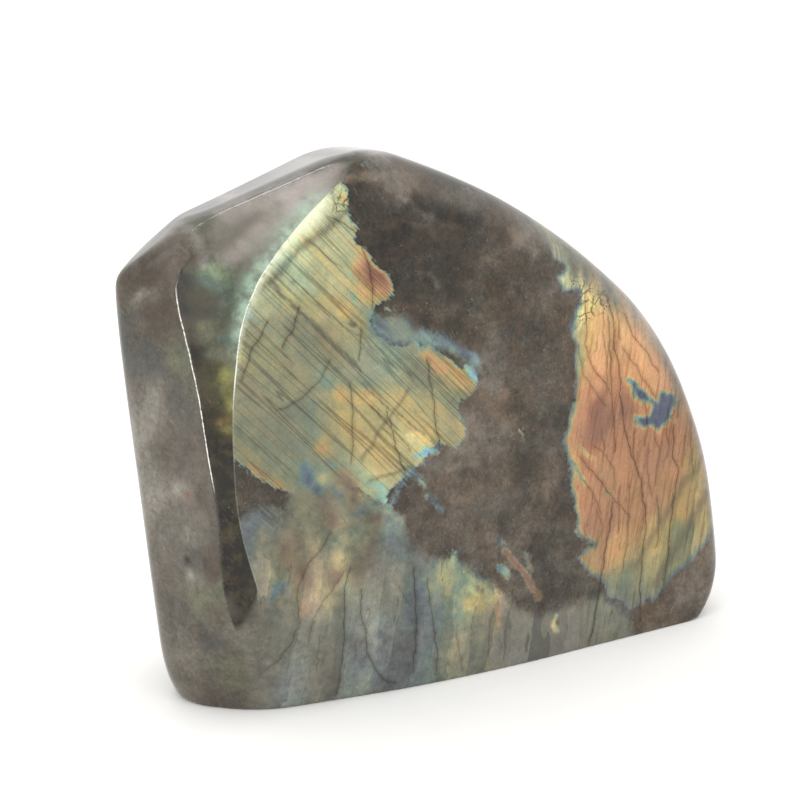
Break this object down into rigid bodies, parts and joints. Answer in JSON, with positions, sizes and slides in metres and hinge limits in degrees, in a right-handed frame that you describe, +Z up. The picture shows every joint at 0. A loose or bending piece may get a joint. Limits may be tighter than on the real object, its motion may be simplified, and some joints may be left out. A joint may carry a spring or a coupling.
{
  "type": "polished labradorite free-form",
  "caption": "Hand-polished labradorite free-form standing on a sawn base, grey-brown stone with green, gold, copper and blue flash.",
  "frame": {"origin": "middle of the stone's bounding box, on the sawn face it stands on", "axes": "+X along the broad front face, to the right as one faces it; +Y from the front face to the back; +Z up"},
  "size_m": [0.1327, 0.0451, 0.1092],
  "materials": {
    "polished_labradorite": "polished"
  },
  "bodies": {
    "root": {"labradorite_chunk": "polished_labradorite"}
  },
  "joints": []
}
